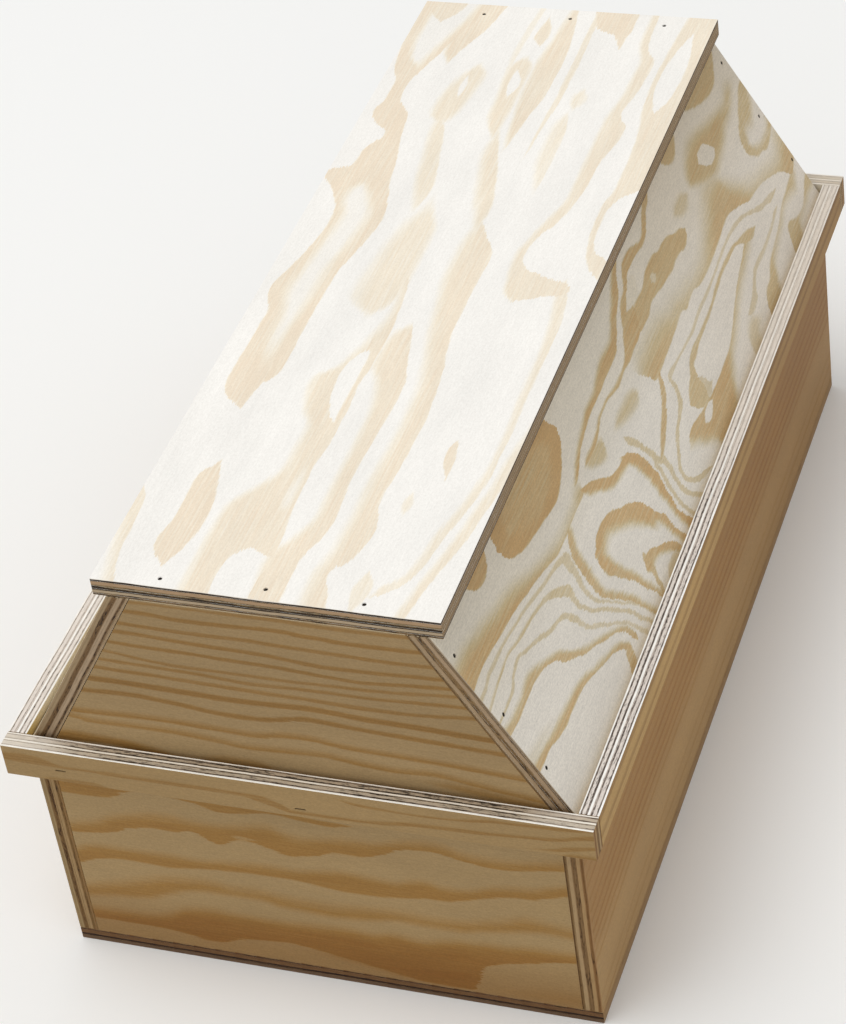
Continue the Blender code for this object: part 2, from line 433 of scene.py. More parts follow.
def banded_veneer(name, place, stops, bands, cross_bands=(), melt=2.0, streak=0.35, painted_shading=(), speck=0.11,
                  **ways):
    """A veneer with its bands of latewood drawn one by one.

    A band is ([(x, upper y, lower y), ...], softness above, softness below, strength) in millimetres,
    with (x, y) where it comes to a point, and a cross band is the same with x and y changed over.
    A softness of SOFT or more is the start of a year, and melt spreads it into the pale wood.
    Bands darken what is paler, but one of a strength below ISLAND, or below 0, gives all that lies
    under it that strength, less the sign, as an island of paler wood does.
    A curve across a board runs from 0 to 1 over BREADTH, from MARGIN outside the board's edge.
    """
    def paint(tree, bench):
        spot = wander(tree, bench, **ways)
        x = add(tree, "SeparateXYZ", {0: spot}, out="X")
        y = add(tree, "SeparateXYZ", {0: spot}, out="Y")
        x = add(tree, "Math", {0: x, 1: 1 / SPAN}, operation="MULTIPLY")
        y = add(tree, "Math", {0: y, 1: 1 / BREADTH, 2: MARGIN / BREADTH}, operation="MULTIPLY_ADD")
        lengthwise, crosswise = (x, SPAN, 0), (y, BREADTH, MARGIN)
        late = None
        for (along, reach, before), (across, width, outside), drawn in (
                (lengthwise, crosswise, bands), (crosswise, lengthwise, cross_bands)):
            for edges, soft_above, soft_below, strength in drawn:
                sides = []
                for column, direction, soft in ((1, 1, soft_above), (-1, -1, soft_below)):
                    line = [((point[0] + before) / reach, (point[column] + outside) / width)
                            for point in edges]
                    edge = add(tree, "FloatCurve", {"Value": along}, line=line)
                    gap = add(tree, "Math", {0: across, 1: edge}, operation="SUBTRACT")
                    fade = (soft if soft < SOFT else soft * melt) * direction / width
                    sides.append(add(tree, "MapRange", {"Value": gap, "From Min": -0.4 * fade,
                                                        "From Max": 0.6 * fade},
                                     interpolation_type="SMOOTHSTEP"))
                inside = add(tree, "Math", {0: sides[0], 1: sides[1]}, operation="MULTIPLY")
                if late is None:
                    late = add(tree, "Math", {0: inside, 1: strength}, operation="MULTIPLY")
                elif strength < ISLAND:
                    late = add(tree, "Mix", {"Factor": inside, "A": late, "B": abs(strength)},
                               data_type="FLOAT")
                else:
                    inside = add(tree, "Math", {0: inside, 1: strength}, operation="MULTIPLY")
                    late = add(tree, "Math", {0: late, 1: inside}, operation="MAXIMUM")
        streaks = grain(tree, bench, (45, 1.3, 60), detail=3, roughness=0.6, seed=7)
        streaks = add(tree, "MapRange", {"Value": streaks, "From Min": 0.3, "From Max": 0.7,
                                         "To Min": 1 - streak, "To Max": 1 + streak / 2})
        late = add(tree, "Math", {0: late, 1: streaks}, operation="MULTIPLY")
        return sand(tree, bench, add(tree, "ValToRGB", {0: late}, stops=stops), painted_shading, speck)
    return bare_wood("sanded_softwood_veneer_" + name, place, paint)


low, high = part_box("side_board_right")
size = (high.y - low.y, high.z - low.z, high.x - low.x)
blank = saw_board("side_board_blank", (0, 0, 0), size, GLUE)
for word, corner, along, outward in (("right", (high.x, low.y, high.z), Y, X),
                                     ("left", (-high.x, high.y, high.z), -Y, -X)):
    place = lay_out(corner, along, outward)
    if word == "right":
        # Painted shade: the first ramp darkens the face under the rim strip, the second darkens it towards
        # the rear.
        veneer = banded_veneer("side_right", place, [(0, "AC8A5B"), (0.4, "A37E4C"), (1, "946C3A")],
                               SIDE_BANDS, melt=1.2, streak=0.7, drift=(9, 2.4), fray=(12, 0.8),
                               painted_shading=[("F0E3CE", (300, 84), (300, 124)), ("EAE4DC", (580, 90), (180, 90))])
    else:
        veneer = ringed_veneer("side_left", place,
                               [(0, "B09060"), (0.5, "AA8655"), (0.85, "A07A49"), (0.97, "987041")],
                               start=0.3, rings_per_mm=1 / 9, humps=[(320, 80, 600, 60, 0, 1.0, 0.8)],
                               drift=(20, 4), uneven=12)
    board = copy_board(blank, "side_board_" + word + "_plywood")
    finish_board(board, veneer,
                 ply_edge("side_long_" + word, place, LONG_PLIES, LONG_TORN),
                 ply_edge("side_end_" + word, place, END_PLIES[word], END_TORN, seed=1))
    put_in_place(board, place)
    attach(board, "root")
    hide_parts("side_board_" + word)
bpy.data.objects.remove(blank)

# End boards
# Two boards of the same plywood between the side boards, with the face grain across the box.
# The veneer is flat cut, so its latewood shows as broad wavy orange-brown bands.
SHADED_TORN = "38200F"
END_BANDS = [
    ([(0, 26, 39), (12, 26, 39.5), (30, 25, 39), (40, 25, 34), (50, 26, 30), (62, 28)], 2, 2.5, 0.8),
    ([(66, 30), (85, 29.5, 33), (103, 30, 37), (120, 29, 34.5), (132, 28.5, 32), (150, 29.5, 33.5),
      (170, 31, 35), (187, 31.5)], 1.5, 1.5, 0.75),
    ([(0, 65, 73), (15, 61, 71.5), (30, 54, 67.5), (40, 51, 62.5), (60, 47, 59.5), (70, 47, 60),
      (80, 48, 57.5), (90, 48, 62.5), (98, 48, 65), (105, 47, 60.5), (112, 46, 57.5), (120, 44, 58.5),
      (130, 43, 61.5), (140, 46, 65), (150, 48, 63.5), (160, 47, 61.5), (172, 45, 56.5), (185, 44, 57),
      (195, 43.5, 54.5), (205, 41, 49.5), (215, 38, 45.5), (230, 36.5, 44), (240, 37.5, 45.5),
      (250, 41, 47.5), (265, 42.5, 49.5), (280, 41.5, 49), (295, 38.5, 46.5), (312, 36, 43)], 5, 1.5, 0.8),
    ([(78, 53), (90, 54, 61), (98, 55, 63), (106, 54, 58), (118, 52, 57), (132, 54, 61), (142, 56, 64),
      (152, 54, 62), (166, 52, 57), (188, 50, 55), (200, 47)], 4, 3, 1),
    ([(104, 56), (112, 54.5, 57.5), (122, 56)], 1.5, 1.5, 0.3),
    ([(0, 87, 100), (8, 83, 96), (20, 81, 92), (40, 81, 91), (60, 80.5, 92), (80, 81, 89), (100, 79, 87),
      (120, 77, 86), (140, 77, 86), (160, 74, 88), (175, 72, 89), (190, 73, 89), (205, 74, 87.5),
      (215, 71, 86), (225, 69.5, 84), (235, 72, 84), (250, 71, 80), (265, 66, 75), (280, 63, 72),
      (290, 62, 71.5), (300, 59, 68), (312, 55, 63.5)], 4, 2.5, 0.8),
    ([(0, 118, 129), (20, 112, 126), (40, 106, 123), (55, 101, 117), (70, 99, 111), (85, 98, 109),
      (100, 100, 109), (115, 99, 109), (130, 101, 112), (145, 102, 113), (160, 102, 114), (175, 101, 113),
      (190, 100, 111), (205, 99, 108), (225, 100, 109), (240, 99, 109), (255, 96, 106), (270, 92, 103),
      (285, 88, 100), (295, 89, 99), (312, 91, 100)], 5, 3, 0.7),
    ([(0, 139, 148), (20, 138, 147.5), (45, 136, 148), (55, 132, 149), (65, 127, 151), (75, 125, 153),
      (85, 124, 152), (95, 125, 147.5), (105, 125, 145), (120, 125, 143.5), (130, 125, 143),
      (140, 124, 144.5), (155, 123, 147), (170, 122, 150), (185, 123, 153), (200, 120, 156),
      (215, 122, 158), (230, 119, 158), (243, 117, 158), (249, 117, 150), (254, 116, 136), (270, 115, 130),
      (285, 113, 126), (300, 113, 122), (312, 112, 120)], 5, 2, 0.95),
    ([(60, 138), (80, 130, 142), (105, 129, 138), (130, 127, 136), (150, 127, 138), (175, 127, 140),
      (200, 129, 139), (225, 126, 138), (245, 123, 134), (258, 122)], 5, 5, 1.25),
    ([(150, 148), (170, 146, 150), (200, 144, 155), (225, 142, 156), (240, 140, 154),
      (248, 146)], 4, 4, 1.2),
    ([(255, 157), (275, 150, 158), (300, 147, 158), (312, 147, 158)], 5, 3, 0.25),
]
low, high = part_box("end_board_front")
size = (high.x - low.x, high.z - low.z, high.y - low.y)
blank = saw_board("end_board_blank", (0, 0, 0), size, GLUE)
for word, corner, along, outward in (("front", (low.x, low.y, high.z), X, -Y),
                                     ("rear", (high.x, -low.y, high.z), -X, Y)):
    place = lay_out(corner, along, outward)
    if word == "front":
        # The ramp darkens the face towards the bottom.
        veneer = banded_veneer("end_front", place,
                               [(0, "A4895F"), (0.3, "A18152"), (0.65, "9A743C"), (1.0, "926830")],
                               END_BANDS, melt=2.8, streak=0.22, drift=(5, 2), fray=(12, 1.2),
                               painted_shading=[("E9DBC8", (150, 156), (150, 108))])
    else:
        veneer = ringed_veneer("end_rear", place,
                               [(0, "A3885D"), (0.5, "A07F50"), (0.85, "966F3B"), (0.97, "8E6431")],
                               start=0.1, rings_per_mm=1 / 16, humps=[(140, 60, 260, 70, 2, 1.0, 2.4)],
                               drift=(9, 5))
    board = copy_board(blank, "end_board_" + word + "_plywood")
    finish_board(board, veneer,
                 ply_edge("end_long_" + word, place, LONG_PLIES, LONG_TORN),
                 ply_edge("end_end_" + word, place, END_PLIES["right"], SHADED_TORN))
    put_in_place(board, place)
    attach(board, "root")
    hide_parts("end_board_" + word)
bpy.data.objects.remove(blank)

# Rim strips
# Four plywood strips nailed on edge round the top of the walls, so that they stand proud of them
# and hold the lid. The two end strips cover the ends of the long ones. Their sawn edge faces up.
END_STRIP_STOPS = [(0, "9F8358"), (0.4, "9A7C4F"), (0.75, "937140"), (1.0, "8A6636")]
LONG_STRIP_STOPS = [(0, "B8945C"), (0.5, "A8844F"), (1, "946F3D")]
LEFT_STRIP_STOPS = [(0, "BC975E"), (0.5, "B5905A"), (0.85, "AC8652"), (0.97, "A67F4D")]
# Painted shade on the long strips' faces, darker towards 460 mm along, the rear of the right strip.
LONG_STRIP_PAINTED_SHADE = [("DCD4CA", (460, 11), (180, 11))]
STRIP_BANDS = [
    ([(0, 5, 11), (12, 4, 12), (25, 5.5, 12), (40, 9.5, 12), (60, 9.5, 12), (65, 9, 12.5), (110, 9, 12.5),
      (150, 9.5, 13), (162, 10, 16), (172, 13, 19), (182, 18, 21), (200, 18, 21), (220, 17.5, 20.5),
      (240, 15.5, 19), (250, 14, 17.5), (270, 13, 16.5), (290, 12.5, 16), (300, 12, 15), (320, 10.5, 13.5),
      (340, 8.5, 12), (350, 5.5, 9), (360, 3, 7)], 2.5, 1.2, 0.85),
    ([(205, 3), (225, 5, 8), (250, 6.5, 8.5), (270, 6, 8), (290, 4, 6.5), (300, 2, 5), (315, 1.5, 4),
      (345, 0, 3), (360, -2, 1)], 2, 1.2, 0.8),
    ([(318, 21), (335, 18, 20.5), (345, 15, 18.5), (355, 13, 16.5), (360, 12, 15)], 2, 1.2, 0.8),
    ([(18, 23), (30, 20, 24), (55, 20, 24), (68, 24)], 3, 2, 0.8),
    ([(335, 24), (345, 20, 24), (360, 19.5, 24)], 3, 2, 0.8),
]
LONG_STRIP_BANDS = [
    ([(0, -4, 5), (300, -4, 5.5), (617, -4, 4.5)], 1, 4, 1),
    ([(0, 13.5, 17.5), (190, 13, 17), (330, 10.5, 15), (617, 9.5, 14)], 5, 2.5, 0.9),
]
RIM_LONG_PLIES = [(1.2, "FFFDF8", 0.05), (0.6, "AFA197", 0.64), (2.2, "E4DAD1", 0.43), (0.8, "B4A69C", 0.6),
                  (0.6, "E4DAD1", 0.45), (1.6, "FFFDF8", 0.05), (0.9, "A2948A", 0.68), (2.1, "E9E0D7", 0.43),
                  (0.9, "AEA094", 0.62), (1.1, "FFFDF8", 0)]
RIM_END_PLIES = [(1.4, "FFFDF6", 0.05), (1.0, "A08E7C", 0.65), (2.25, "BDAE98", 0.42), (0.85, "9E8C74", 0.6),
                 (1.4, "F4ECDE", 0.15), (0.85, "8A7660", 0.7), (2.05, "B4A28A", 0.45), (1.2, "8C7864", 0.6),
                 (1.0, "F8F1E6", 0)]
RIM_CLEANER = {
    "right": ("DDD2C3", [(0, 1), (200, 1), (330, 0.7), (450, 0.45), (560, 0.3), (617, 0.3)]),
    "left": ("EEE7DD", [(0, 0.4), (400, 0.5), (520, 0.7), (617, 0.8)]),
    "front": ("F2EBDF", [(0, 0.45), (25, 0.55), (60, 0.95), (120, 1), (310, 1), (335, 0.75), (360, 0.85)]),
    "rear": ("E6DCCC", [(0, 0.5), (180, 0.7), (360, 0.5)]),
}
STAPLES = [(36, 14.3, 5.8), (185.5, 16.5, 5.8)]
low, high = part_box("rim_strip_right")
size = (high.y - low.y, high.z - low.z, high.x - low.x)
blank = saw_board("rim_strip_long_blank", (0, 0, 0), size, GLUE)
rim_places = [("right", blank, lay_out((high.x, low.y, high.z), Y, X)),
              ("left", blank, lay_out((-high.x, high.y, high.z), -Y, -X))]
low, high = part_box("rim_strip_front")
end_size = (high.x - low.x, high.z - low.z, high.y - low.y)
end_blank = saw_board("rim_strip_end_blank", (0, 0, 0), end_size, GLUE)
rim_places += [("front", end_blank, lay_out((low.x, low.y, high.z), X, -Y)),
               ("rear", end_blank, lay_out((high.x, -low.y, high.z), -X, Y))]
# The strips' pale inner faces, with painted shade that turns them olive towards the front end.
rim_back = ringed_veneer("rim_back", rim_places[1][2],
                         [(0, "F4EEE2"), (0.5, "F0E8D8"), (0.9, "E8DCC2"), (0.97, "E0D0AE")],
                         start=0.2, rings_per_mm=1 / 12, painted_shading=[("DCC684", (617, 11), (580, 11))])
for number, (word, pattern, place) in enumerate(rim_places):
    if word == "front":
        veneer = banded_veneer("rim_front", place, END_STRIP_STOPS, STRIP_BANDS, melt=1.0,
                               drift=(6, 1.2), fray=(6, 0.6))
    elif word == "right":
        veneer = banded_veneer("rim_right", place, LONG_STRIP_STOPS, LONG_STRIP_BANDS, melt=1.0, streak=0.5,
                               drift=(20, 2), fray=(12, 0.8), painted_shading=LONG_STRIP_PAINTED_SHADE)
    elif word == "rear":
        veneer = ringed_veneer("rim_rear", place, END_STRIP_STOPS, start=0.6, rings_per_mm=1 / 8,
                               drift=(20, 5))
    else:
        veneer = ringed_veneer("rim_left", place, LEFT_STRIP_STOPS, start=0.3, rings_per_mm=1 / 8,
                               drift=(40, 6), uneven=14, painted_shading=LONG_STRIP_PAINTED_SHADE)
    lengthwise = word in ("right", "left")
    if lengthwise:
        plies, torn_hex, beads = RIM_LONG_PLIES, "504640", (3, 0.5, 0.2)
    else:
        plies, torn_hex, beads = RIM_END_PLIES, "30261D", BEADS
    board = copy_board(pattern, "rim_strip_" + word + "_plywood")
    finish_board(board, veneer,
                 ply_edge("rim_long_" + word, place, plies, torn_hex, RIM_CLEANER[word], beads, number),
                 ply_edge("rim_end_" + word, place, END_PLIES["right"], END_TORN, seed=number),
                 rim_back)
    pieces = [board]
    if not lengthwise:
        pieces.append(sink_heads(board, "rim_strip_" + word + "_staples", STAPLES))
    for piece in pieces:
        put_in_place(piece, place)
        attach(piece, "root")
    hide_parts("rim_strip_" + word)
bpy.data.objects.remove(blank)
bpy.data.objects.remove(end_blank)

# Lid sloping boards
# Two long boards that lean inwards, cut level along both edges, nailed to the lid ends.
# A pale rotary-cut veneer, whose rings open into swirls and long loops.
PLYWOOD = 12 * MM
SPARE = 20 * MM
SLOPE_BANDS = [
    ([(0, 23, 41), (12, 23, 40), (30, 26, 41), (50, 30, 43), (70, 34, 45), (90, 39, 48), (105, 44, 51),
      (120, 48.5, 54), (135, 51.5, 57), (150, 53, 57), (170, 53, 56.5), (186, 50, 57),
      (190, 53)], 8, 1.2, 0.95),
    ([(0, 46.5, 49.5), (8, 46.5, 49), (20, 44.5, 47), (40, 45, 47), (60, 47.5, 49.5), (85, 51, 53.5),
      (105, 54.5, 57), (120, 56.5, 59), (130, 58, 62), (137, 61, 69), (140, 66)], 1.5, 1, 0.48),
    ([(0, 55, 57), (15, 53, 55), (40, 51, 53), (55, 53.5, 56), (75, 56, 58.5), (95, 59, 62), (103, 61, 66),
      (112, 65, 72), (119, 69, 78), (124, 74)], 2, 1, 0.56),
    ([(0, 65, 67), (10, 64.5, 66.5), (25, 63.5, 66), (35, 60, 62.5), (45, 58.5, 61), (55, 61.5, 64),
      (65, 64.5, 67), (75, 67.5, 71), (85, 72, 75.5), (95, 74.5, 77), (103, 77, 82), (108, 82, 90),
      (111, 88)], 1.5, 1, 0.52),
    ([(0, 70, 76), (15, 72, 77), (25, 72, 77), (40, 70, 77), (50, 72, 78), (60, 76, 80), (70, 80, 85),
      (75, 82, 90), (85, 90, 97), (92, 96, 101), (105, 103, 107), (115, 108, 112), (130, 115.5, 119),
      (138, 120.5, 126), (142, 125, 136), (145, 132)], 3, 1.2, 0.85),
    ([(0, 98, 105), (15, 100, 105), (30, 102, 108), (45, 103, 110), (60, 104, 110), (75, 105.5, 111),
      (85, 108.5, 113), (95, 113, 116), (105, 115.5, 119), (115, 118.5, 122), (125, 122, 128),
      (132, 128, 133), (135, 131)], 3, 1.2, 0.9),
    ([(0, 92, 99), (20, 95, 100), (36, 100, 101)], 5, 3, 0.3),
    ([(112, 146), (120, 137, 146), (130, 130, 140), (134, 131)], 2, 3, 0.8),
    ([(91, 16), (96, 4, 28), (104, -4, 31), (120, -4, 35), (140, -4, 38), (160, -4, 40.5), (175, -4, 38),
      (190, -4, 32), (203, 14, 24), (206, 19)], 1.5, 1.5, 1.1),
    ([(106, 18), (115, 6, 27), (130, 2, 33), (150, 4, 35), (170, 6, 32), (185, 12, 24),
      (192, 18)], 6, 6, -0.9),
    ([(49, 8), (57, -4, 16), (65, -4, 17.5), (75, -4, 15), (84, 6)], 1.5, 1.5, 1),
    ([(182, 50), (190, 46, 49), (197, 42, 47), (205, 39.5, 44), (215, 37, 41), (230, 34.5, 39),
      (240, 32.5, 38), (255, 32.5, 38), (265, 30.5, 38), (275, 28.5, 37), (285, 27.5, 37), (300, 28.5, 37),
      (308, 26, 34), (315, 22.5, 31), (322, 19.5, 27), (330, 16.5, 24), (340, 12, 20), (350, 7, 14),
      (360, 2, 8), (370, -2, 4)], 3, 1.2, 0.95),
    ([(184, 52), (190, 54, 60), (200, 58, 66), (210, 64, 73), (220, 70, 77), (230, 72.5, 78), (240, 73, 80),
      (247, 74.5, 85), (251, 80)], 1.2, 3, 1),
    ([(202, 50), (210, 47.5, 51), (220, 47.5, 51), (235, 46, 49), (245, 44.5, 46.5), (260, 44, 46),
      (270, 45, 47), (282, 46, 49), (295, 46, 48.5), (305, 44, 49), (312, 39.5, 49), (318, 36, 48.5),
      (325, 31, 48.5), (334, 25, 47), (345, 22.5, 36), (355, 17.5, 23), (365, 12.5, 20), (375, 12.5, 20),
      (385, 15, 21), (395, 18, 22), (405, 16, 21), (412, 12, 18), (420, 8, 14), (432, 3, 10),
      (440, 0, 4)], 2.5, 1.5, 0.9),
    ([(203, 51), (214, 48, 58), (228, 49, 62), (235, 52, 54)], 3, 3, 0.6),
    ([(330, 42), (338, 37, 48.5), (350, 34.5, 48.5), (365, 35, 46), (375, 32.5, 47.5), (385, 31, 49),
      (395, 31, 50), (405, 34.5, 51), (415, 35, 50.5), (425, 37, 51), (432, 41, 53), (440, 42.5, 52),
      (446, 47)], 2.2, 2, 0.8),
    ([(335, 31), (345, 27, 34), (352, 24, 34), (360, 22, 33), (366, 26)], 1.5, 1.5, 0.1),
    ([(377, 40), (382, 37, 42.5), (388, 40)], 2, 2, 0.35),
    ([(250, 59), (262, 56, 64), (275, 56, 67), (287, 58, 68), (296, 63)], 3, 3, 0.55),
    ([(266, 102), (280, 95, 100), (290, 91, 96.5), (300, 87.5, 93.5), (308, 83.5, 89.5), (316, 78, 85),
      (322, 73, 80), (327, 71)], 2.5, 1.5, 0.85),
    ([(306, 59), (312, 55, 66), (318, 53, 74), (330, 53, 74), (345, 54, 73.5), (355, 55, 73), (365, 58, 72),
      (375, 61, 71), (385, 62, 70.5), (392, 64, 74), (400, 66, 73.5), (410, 67, 73.5), (420, 69, 76.5),
      (435, 69, 77.5), (450, 66, 77.5), (465, 60, 77), (480, 54, 76), (490, 49, 75.5), (500, 48, 76),
      (510, 50, 79), (518, 60, 82), (530, 72, 87), (540, 80, 88.5), (550, 84, 90), (560, 86.5, 92.5),
      (570, 89, 96), (580, 92, 100), (590, 93, 105), (598, 90, 113), (605, 86, 111),
      (612, 83, 108)], 15, 1.5, 0.85),
    ([(326, 84), (332, 80, 84), (350, 82, 84), (365, 83, 85), (385, 83.5, 86), (405, 82, 85),
      (420, 82.5, 85), (440, 82.5, 84.5), (470, 81, 83.5), (490, 81.5, 84), (505, 83.5, 86.5),
      (515, 86.5, 89.5), (525, 91, 95), (535, 95.5, 99.5), (545, 98.5, 102), (555, 100, 105),
      (565, 103, 105), (570, 104)], 1.5, 1, 0.44),
    ([(330, 106), (337, 101, 114), (343, 99, 118.5), (348, 97.5, 119), (353, 95, 118), (360, 92, 97),
      (372, 90, 95.5), (385, 90.5, 93.5), (405, 90.5, 93.5), (420, 90, 92.5), (435, 87.5, 91),
      (450, 86.5, 89.5), (470, 87, 90.5), (480, 87.5, 90.5), (490, 90, 94), (500, 92.5, 100),
      (508, 95, 102), (518, 100)], 1.8, 1.3, 0.71),
    ([(350, 117), (357, 104, 118.5), (363, 112, 117), (368, 115)], 2, 1.5, 0.47),
    ([(304, 118), (312, 114, 123), (320, 113, 130), (330, 115, 137), (340, 117, 146), (350, 118, 146),
      (360, 118.5, 146), (370, 118.5, 146), (380, 118.5, 140), (390, 118.5, 131), (398, 118.5, 127),
      (405, 117.5, 123), (415, 115.5, 120.5), (425, 112.5, 117.5), (435, 109.5, 114.5), (445, 106.5, 111),
      (455, 104.5, 108.5), (465, 102.5, 106.5), (475, 100.5, 105.5), (485, 98.5, 103.5), (495, 96.5, 102),
      (506, 99)], 1.3, 8, 0.9),
    ([(331, 123), (340, 118.5, 126), (348, 118.5, 124), (355, 121)], 1.3, 1.5, 0),
    ([(444, 122), (455, 121, 126), (465, 119, 126), (475, 115.5, 119.5), (485, 112, 115.5),
      (495, 111.5, 115), (510, 112, 115.5), (525, 112.5, 115), (540, 111, 113.5), (550, 109.5, 112),
      (558, 110)], 1.3, 1.5, 0.44),
    ([(424, 146), (430, 130, 146), (437, 126, 146), (446, 124.5, 138), (456, 130, 134),
      (462, 132)], 5, 6, 0.46),
    ([(468, 146), (475, 132, 146), (483, 128.5, 146), (492, 127.5, 146), (500, 124.5, 140),
      (512, 121.5, 128), (525, 120.5, 125), (535, 119, 123), (545, 117.5, 121.5), (555, 115, 119),
      (565, 113, 117), (580, 112, 119), (588, 111.5, 120.5), (596, 110.5, 117), (606, 110)], 2.2, 6, 0.68),
    ([(538, 146), (548, 129, 146), (556, 125, 146), (562, 127.5, 142), (568, 130, 136), (580, 131.5, 134.5),
      (592, 129, 133.5), (600, 125.5, 132), (612, 122, 133)], 2.5, 5, 0.67),
    ([(563, 66), (567, 59, 74), (574, 54, 68), (582, 50, 62), (590, 46, 64), (600, 42, 60),
      (612, 38.5, 52)], 2.5, 6, 0.63),
    ([(563, 67), (567, 60, 75), (574, 70, 79.5), (580, 74, 81), (590, 76, 84.5), (600, 76, 83),
      (612, 71, 80)], 5, 2.5, 0.67),
    ([(478, 36), (487, 28, 42), (498, 23, 48), (510, 21, 52), (520, 22, 53.5), (530, 24, 51.5),
      (540, 27, 50), (550, 29, 48), (560, 32, 45), (575, 34, 43), (590, 30, 38), (602, 33)], 7, 6, 0.8),
    ([(506, 36), (512, 31.5, 43), (520, 31.5, 46.5), (528, 36, 45.5), (533, 41.5)], 1.3, 1.3, 0),
    ([(442, 35), (452, 31, 41), (462, 31, 43), (474, 38)], 3, 3, 0.46),
    ([(468, 9), (478, -4, 16), (485, -4, 17), (493, -4, 13), (502, 8)], 2.5, 2.9, 0.76),
    ([(528, 8), (540, -4, 14), (550, -4, 18), (565, -4, 21.5), (575, -4, 22), (585, -4, 20), (592, -4, 15),
      (604, 8)], 2.5, 2.9, 0.76),
    ([(156, 92), (160, 83, 99), (165, 79.5, 92), (172, 76.5, 88), (180, 76, 86), (190, 77.5, 90),
      (200, 81.5, 96), (210, 86.5, 103), (218, 91, 110), (226, 98, 117), (231, 107, 117),
      (234, 113)], 1.2, 6, 1),
    ([(190, 123), (195, 117, 127), (202, 117, 126), (208, 119.5, 127), (214, 123.5, 130), (222, 127.5, 135),
      (229, 133, 142), (234, 142)], 1.2, 3, 0.95),
    ([(202, 142), (210, 136, 146), (220, 136, 146), (228, 144)], 2, 2, 0.48),
]
SLOPE_CROSS_BANDS = [
    ([(55, 156), (58, 150, 158), (63, 143, 154), (70, 140, 150), (80, 138.5, 148.5), (90, 138.5, 147),
      (98, 139.5, 147), (105, 145, 152), (113, 153, 160), (122, 160, 166), (130, 165, 170), (138, 169, 174),
      (146, 173, 178)], 1.5, 4, 0.85),
    ([(59, 136), (62, 131, 140), (70, 131, 139), (78, 129.5, 136), (85, 129, 134), (92, 131, 135),
      (98, 134, 138), (105, 141, 144), (113, 149, 152), (122, 158, 161), (130, 164.5, 167),
      (138, 168, 170.5), (144, 172)], 2, 2, 0.48),
    ([(71, 120), (74, 116, 123), (83, 115.5, 120.5), (90, 119, 123), (98, 126, 130), (105, 134, 138),
      (113, 142, 146), (122, 150, 154), (130, 155, 159), (140, 161, 165), (150, 170)], 1.5, 2, 0.52),
    ([(80, 107), (84, 106, 110), (95, 109, 113.5), (102, 116, 121), (111, 128, 132), (120, 138, 142),
      (128, 145, 149), (140, 151, 155), (150, 160)], 1.5, 2, 0.44),
    ([(71, 238), (74, 236, 244), (82, 243, 254), (90, 246, 257.5), (100, 247, 259), (110, 247.5, 257),
      (120, 248, 255), (128, 247, 253), (135, 248, 256), (146, 254, 266)], 4, 1.3, 1.05),
    ([(67, 253), (70, 252, 257), (76, 255, 262), (82, 259, 264.5), (88, 261.5, 267.5), (96, 263.5, 270),
      (101, 266, 272), (105, 271)], 2, 2, 0.56),
    ([(95, 264), (98, 261, 265.5), (105, 260.5, 265), (112, 259, 263.5), (120, 257.5, 261.5),
      (128, 257, 261), (135, 259, 263.5), (146, 265, 270)], 1.5, 1.5, 0.52),
    ([(99, 274), (102, 270, 276), (110, 269.5, 275.5), (118, 267.5, 272.5), (125, 267.5, 272.5),
      (132, 270.5, 275.5), (138, 276.5, 282), (146, 284, 290)], 1.5, 1.5, 0.52),
    ([(81, 331), (84, 328, 332), (90, 326.5, 331.5), (96, 322, 329), (100, 312, 325), (104, 299, 309),
      (109, 289, 297), (114, 281, 288), (119, 277, 282), (126, 278, 283), (131, 282, 289), (137, 292, 304),
      (141, 312)], 1.5, 1.5, 0.52),
    ([(80, 163), (82, 158, 168), (92, 157.5, 170), (100, 159.5, 172), (106, 165, 174.5), (112, 171, 178.5),
      (120, 175.5, 182), (128, 180, 186), (136, 184, 188.5), (146, 186, 191)], 1.5, 4, 0.9),
    ([(95, 214), (98, 212, 226), (108, 219, 231), (114, 226, 235), (122, 231, 239.5), (130, 233, 239.5),
      (138, 235, 242), (146, 240, 248)], 4, 1.3, 0.95),
    ([(114, 198), (117, 193, 200), (125, 192.5, 199), (132, 191, 196), (138, 188.5, 193.5),
      (146, 185, 190)], 1.5, 2, 0.75),
]
SLOPE_HUMPS = [
    (20, 150, 150, 110, 6, 0.33, 4.6), (-20, 150, 150, 70, 0, 0.6, 1.9), (0, 140, 260, 122, 0, 1.0, 0.8),
    (212, 150, 110, 62, 53, 1.0, -3.2), (480, 90, 300, 95, 0, 0.45, 2.1),
    (420, 108, 185, 50, -3, 0.62, 2.35), (415, 104, 85, 16, -8, 0.3, 0.4), (385, 42, 62, 11, 3, 0.5, -0.5),
    (515, 40, 50, 22, 0, 0.8, 0.45), (513, 38, 11, 8, 0, 0.6, 0.45), (612, 62, 52, 25, 0, 0.6, -1.1),
    (545, 12, 70, 10, 0, 0.5, -0.5), (145, 20, 62, 22, 0, 0.5, -0.75), (64, 8, 20, 8, 0, 0.8, -0.7)]
SLOPE_END_PLIES = {"right": [(0.5, "B0A08A", 0), (2.0, "7C664C", 0.4), (2.4, "A88F72", 0.12),
                             (3.1, "836846", 0.5), (2.7, "A48C6E", 0.12), (1.3, "78603F", 0.45)],
                   "left": [(3.3, "9E8768", 0.1), (2.9, "74593B", 0.48), (2.8, "A99277", 0.1),
                            (1.4, "70563A", 0.5), (1.6, "A0886A", 0.12)]}
SLOPE_PINS = [(6.5, 19.5, 0), (7, 66, 0), (6.5, 108, 0), (605, 20, 0), (605, 67, 0), (608, 108, 0)]
low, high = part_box("lid_sloping_board_right")
